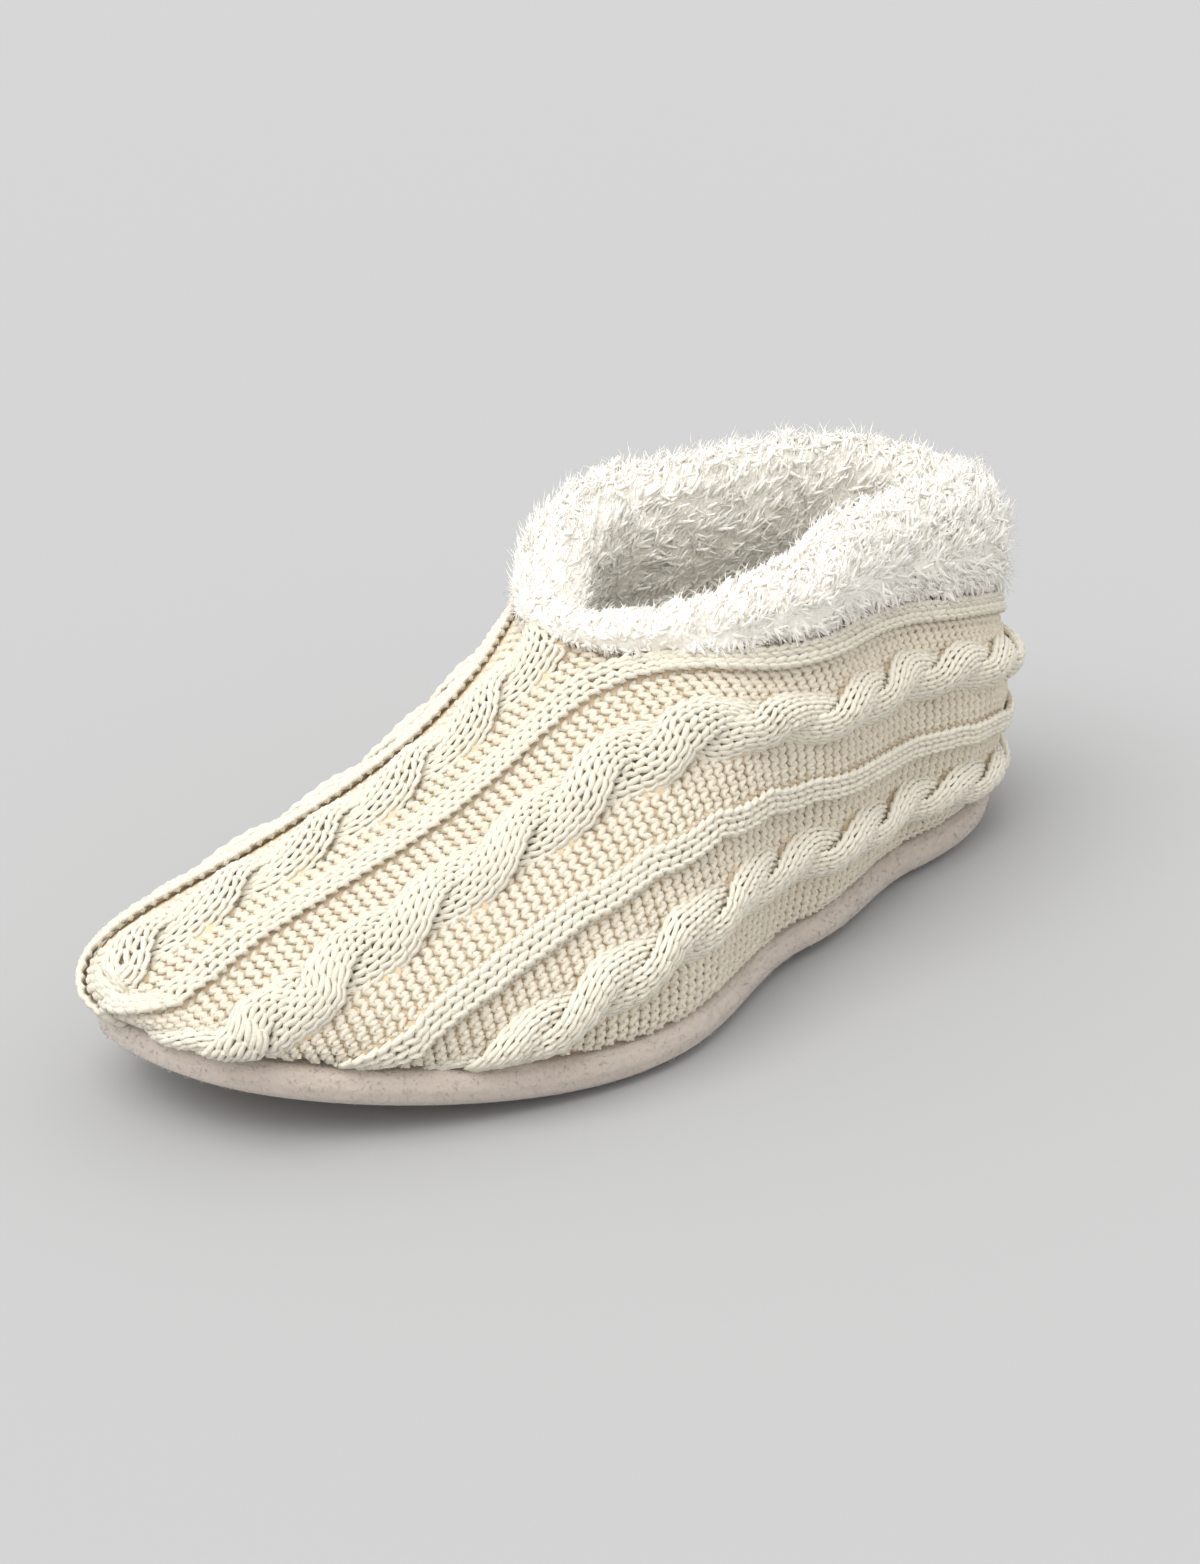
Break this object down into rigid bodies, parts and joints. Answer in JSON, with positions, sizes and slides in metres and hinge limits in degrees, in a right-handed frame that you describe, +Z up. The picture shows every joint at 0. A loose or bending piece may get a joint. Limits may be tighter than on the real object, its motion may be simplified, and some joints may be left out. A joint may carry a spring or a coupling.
{
  "type": "slipper sock",
  "caption": "Low knitted bootie with cable relief, a long-pile plush cuff at the collar, a padded cloth sole and a soft footbed.",
  "frame": {"origin": "on the floor under the middle of the shoe's length and width", "axes": "+Z up, the toe points to -Y, +X is the outer side of the left foot"},
  "size_m": [0.1012, 0.262, 0.1014],
  "materials": {
    "sole cloth": "brushed suede cloth, matt",
    "knit": "cream yarn, matt",
    "plush": "off-white long-pile plush"
  },
  "bodies": {
    "root": {"padded_sole": "sole cloth", "knit_upper": "knit", "footbed": "plush", "plush_cuff": "plush"}
  },
  "joints": []
}
